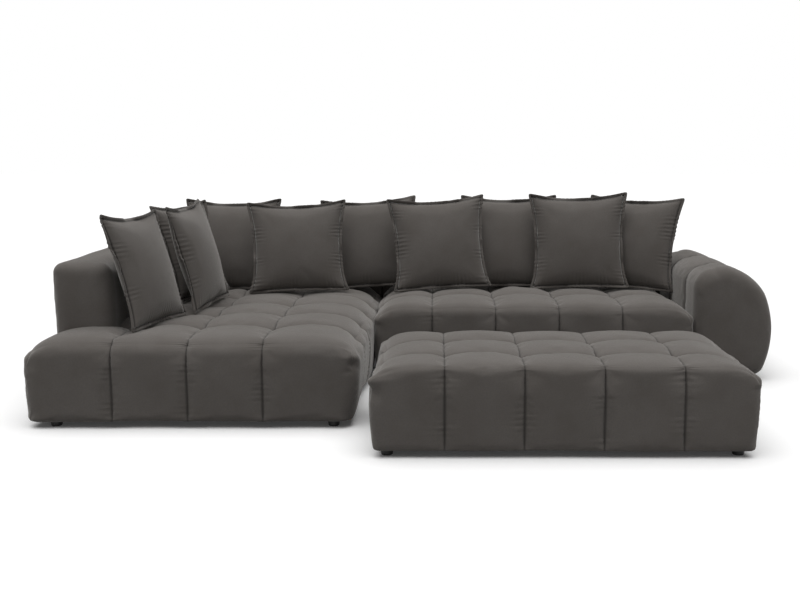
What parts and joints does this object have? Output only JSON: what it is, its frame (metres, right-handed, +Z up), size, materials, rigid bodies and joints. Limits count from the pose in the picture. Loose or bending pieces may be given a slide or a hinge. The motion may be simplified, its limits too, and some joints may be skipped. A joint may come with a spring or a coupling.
{
  "type": "corner sofa",
  "caption": "Left-hand corner sofa with a biscuit-tufted chaise and seat, a smooth side back, a bolster arm, a matching tufted ottoman and loose flanged cushions in dark grey fabric.",
  "frame": {"origin": "on the floor at the centre of the whole set's bounding box, ottoman included", "axes": "+X to the sitter's left along the back, toward the bolster arm; +Y from the front toward the back; +Z up"},
  "size_m": [3.3506, 2.3707, 0.8878],
  "materials": {
    "upholstery": "matte",
    "polyester_pad": "matte",
    "foam": "matte",
    "black_textile": "matte",
    "pine": "matte",
    "foot_plastic": "satin",
    "zinc_steel": "satin"
  },
  "bodies": {
    "chaise_module": {"chaise_seat_cover": "upholstery", "chaise_seat_foam": "foam", "chaise_webbing": "black_textile", "chaise_perimeter_rails": "pine", "chaise_cross_rails": "pine", "chaise_dust_sheet": "black_textile", "chaise_feet": "foot_plastic", "chaise_foot_studs": "zinc_steel", "chaise_back_bolts": "zinc_steel", "chaise_connector_clips": "zinc_steel", "side_back_cover": "upholstery", "side_back_foam": "foam", "side_back_frame": "pine", "chaise_rear_back_cover": "upholstery", "chaise_rear_back_foam": "foam", "chaise_rear_back_frame": "pine"},
    "sofa_module": {"sofa_seat_cover": "upholstery", "sofa_seat_foam": "foam", "sofa_webbing": "black_textile", "sofa_perimeter_rails": "pine", "sofa_cross_rails": "pine", "sofa_dust_sheets": "black_textile", "sofa_feet": "foot_plastic", "sofa_foot_studs": "zinc_steel", "sofa_back_bolts": "zinc_steel", "sofa_connector_tongues": "zinc_steel", "sofa_rear_back_cover": "upholstery", "sofa_rear_back_foam": "foam", "sofa_rear_back_frame": "pine", "arm_cover": "upholstery", "arm_foam": "foam", "arm_frame": "pine", "arm_bolts": "zinc_steel"},
    "ottoman": {"ottoman_cover": "upholstery", "ottoman_foam": "foam", "ottoman_webbing": "black_textile", "ottoman_rails": "pine", "ottoman_dust_sheet": "black_textile", "ottoman_feet": "foot_plastic", "ottoman_foot_studs": "zinc_steel"},
    "side_cushion_front": {"side_cushion_front_cover": "upholstery", "side_cushion_front_pad": "polyester_pad"},
    "side_cushion_middle": {"side_cushion_middle_cover": "upholstery", "side_cushion_middle_pad": "polyester_pad"},
    "side_cushion_rear": {"side_cushion_rear_cover": "upholstery", "side_cushion_rear_pad": "polyester_pad"},
    "back_cushion_corner": {"back_cushion_corner_cover": "upholstery", "back_cushion_corner_pad": "polyester_pad"},
    "front_cushion_corner": {"front_cushion_corner_cover": "upholstery", "front_cushion_corner_pad": "polyester_pad"},
    "back_cushion_left": {"back_cushion_left_cover": "upholstery", "back_cushion_left_pad": "polyester_pad"},
    "front_cushion_left": {"front_cushion_left_cover": "upholstery", "front_cushion_left_pad": "polyester_pad"},
    "back_cushion_middle": {"back_cushion_middle_cover": "upholstery", "back_cushion_middle_pad": "polyester_pad"},
    "front_cushion_right": {"front_cushion_right_cover": "upholstery", "front_cushion_right_pad": "polyester_pad"},
    "back_cushion_right": {"back_cushion_right_cover": "upholstery", "back_cushion_right_pad": "polyester_pad"}
  },
  "joints": [
    {"name": "module_slide", "type": "slide", "parent": "chaise_module", "child": "sofa_module", "axis": [1, 0, 0], "range_m": [0, 0.3]},
    {"name": "ottoman_slide", "type": "slide", "parent": "chaise_module", "child": "ottoman", "axis": [0, -1, 0], "range_m": [-0.5, 0.6]},
    {"name": "side_cushion_front_lift", "type": "slide", "parent": "chaise_module", "child": "side_cushion_front", "axis": [-0.2788, 0.0542, 0.9588], "range_m": [0, 0.6]},
    {"name": "side_cushion_middle_lift", "type": "slide", "parent": "chaise_module", "child": "side_cushion_middle", "axis": [0, 0, 1], "range_m": [0, 0.6]},
    {"name": "side_cushion_rear_lift", "type": "slide", "parent": "chaise_module", "child": "side_cushion_rear", "axis": [-0.2788, 0.0879, 0.9563], "range_m": [0, 0.6]},
    {"name": "back_cushion_corner_lift", "type": "slide", "parent": "chaise_module", "child": "back_cushion_corner", "axis": [0, 0.2924, 0.9563], "range_m": [0, 0.6]},
    {"name": "front_cushion_corner_lift", "type": "slide", "parent": "chaise_module", "child": "front_cushion_corner", "axis": [0, 0, 1], "range_m": [0, 0.6]},
    {"name": "back_cushion_left_lift", "type": "slide", "parent": "chaise_module", "child": "back_cushion_left", "axis": [0, 0.2924, 0.9563], "range_m": [0, 0.6]},
    {"name": "front_cushion_left_lift", "type": "slide", "parent": "sofa_module", "child": "front_cushion_left", "axis": [0, 0, 1], "range_m": [0, 0.6]},
    {"name": "back_cushion_middle_lift", "type": "slide", "parent": "sofa_module", "child": "back_cushion_middle", "axis": [0, 0.2924, 0.9563], "range_m": [0, 0.6]},
    {"name": "front_cushion_right_lift", "type": "slide", "parent": "sofa_module", "child": "front_cushion_right", "axis": [0, 0, 1], "range_m": [0, 0.6]},
    {"name": "back_cushion_right_lift", "type": "slide", "parent": "sofa_module", "child": "back_cushion_right", "axis": [0.1336, 0.2411, 0.9613], "range_m": [0, 0.6]}
  ]
}
